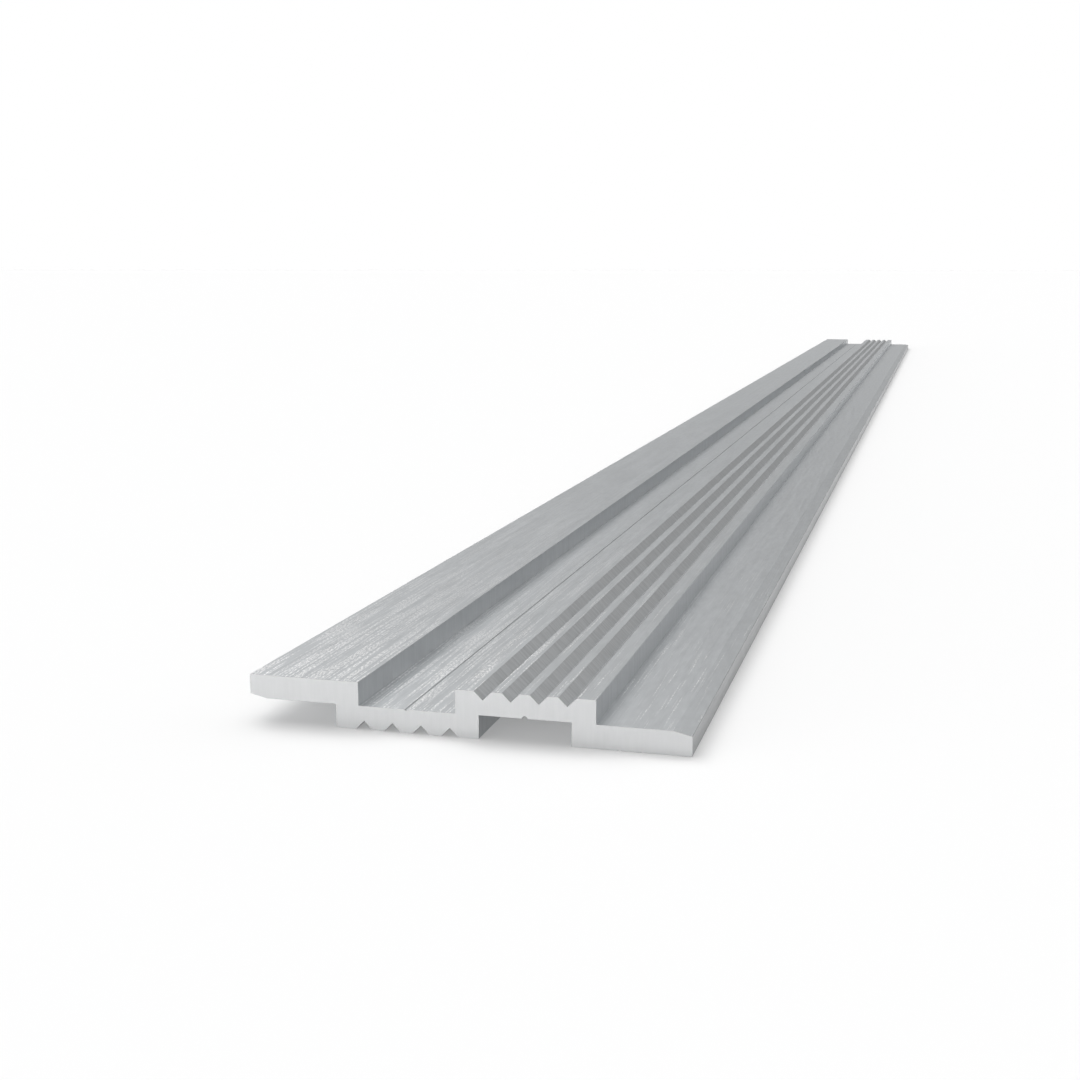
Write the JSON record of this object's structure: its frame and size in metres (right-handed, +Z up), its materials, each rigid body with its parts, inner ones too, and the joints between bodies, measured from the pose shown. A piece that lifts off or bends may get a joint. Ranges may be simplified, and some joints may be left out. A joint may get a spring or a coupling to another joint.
{
  "type": "threshold strip",
  "caption": "Extruded aluminium door threshold strip with a raised flange, a screw channel, a grooved tread and a low flange.",
  "frame": {"origin": "middle of the strip's length and width, on the surface that the strip lies on", "axes": "+X across the strip from the raised flange to the low flange, +Y along the strip's length, +Z up"},
  "size_m": [0.056, 0.92, 0.006],
  "materials": {
    "satin_aluminium": "natural aluminium with a fine satin grain along the strip"
  },
  "bodies": {
    "root": {"threshold_profile": "satin_aluminium"}
  },
  "joints": []
}
